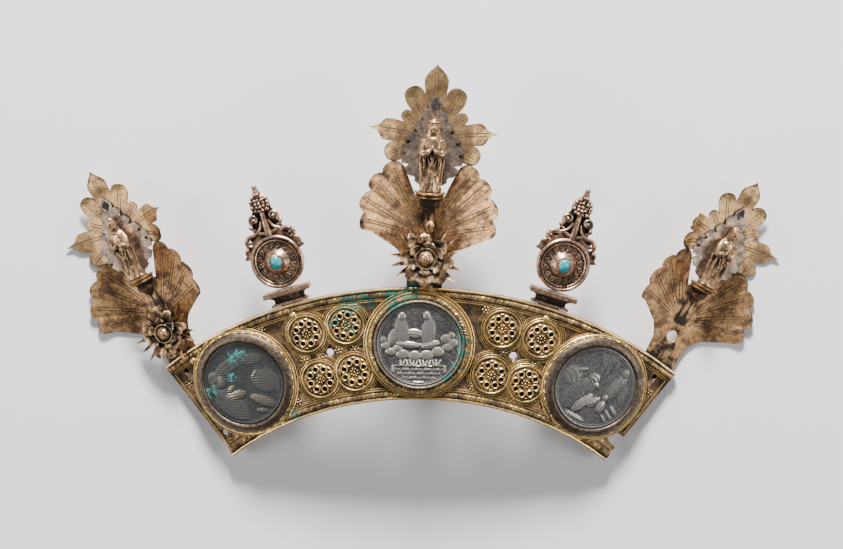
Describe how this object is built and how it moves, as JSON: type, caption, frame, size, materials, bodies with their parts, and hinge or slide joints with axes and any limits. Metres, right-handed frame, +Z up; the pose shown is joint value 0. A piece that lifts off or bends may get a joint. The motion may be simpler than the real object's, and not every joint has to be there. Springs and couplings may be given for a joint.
{
  "type": "votive crown",
  "caption": "Gilt metal votive crown bow lying on its back, with a curved medal band, rosettes, leafy finials with small figures, and turquoise finials.",
  "frame": {"origin": "middle of the bounding box's bottom face, on the surface that the crown lies on", "axes": "+X to the right along the bow, +Y towards the finial tips, +Z up, out of the bow's front"},
  "size_m": [0.2448, 0.1364, 0.0344],
  "materials": {
    "gilt": "worn gilding, dark in the recesses",
    "leaf_copper": "worn gilding over brown copper",
    "dark_bezel": "dark brown patina",
    "dark_silver": "dark silver patina",
    "grey_plate": "dull grey oxidised",
    "silver_gilt": "worn silver-gilt",
    "turquoise": "polished stone"
  },
  "bodies": {
    "root": {"band": "gilt", "bezel_left": "dark_bezel", "bezel_centre": "gilt", "bezel_right": "dark_bezel", "medallion_left": "dark_silver", "medallion_centre": "dark_silver", "medallion_right": "dark_silver", "rosette_1": "gilt", "rosette_2": "gilt", "rosette_3": "gilt", "rosette_4": "gilt", "rosette_5": "gilt", "rosette_6": "gilt", "rosette_7": "gilt", "rosette_8": "gilt", "rivet_left_end": "gilt", "rivet_left": "gilt", "rivet_right": "gilt", "lower_leaf_left": "leaf_copper", "lower_leaf_centre": "leaf_copper", "lower_leaf_right": "leaf_copper", "upper_leaf_left": "leaf_copper", "upper_leaf_centre": "leaf_copper", "upper_leaf_right": "leaf_copper", "mandorla_left": "grey_plate", "mandorla_centre": "grey_plate", "mandorla_right": "grey_plate", "figure_left": "leaf_copper", "figure_centre": "leaf_copper", "figure_right": "leaf_copper", "console_left": "gilt", "console_centre": "gilt", "console_right": "gilt", "thistle_left": "gilt", "thistle_centre": "gilt", "small_base_left": "silver_gilt", "small_base_right": "silver_gilt", "small_disc_left": "silver_gilt", "small_disc_right": "silver_gilt", "crest_left": "silver_gilt", "crest_right": "silver_gilt", "turquoise_left": "turquoise", "turquoise_right": "turquoise"}
  },
  "joints": []
}
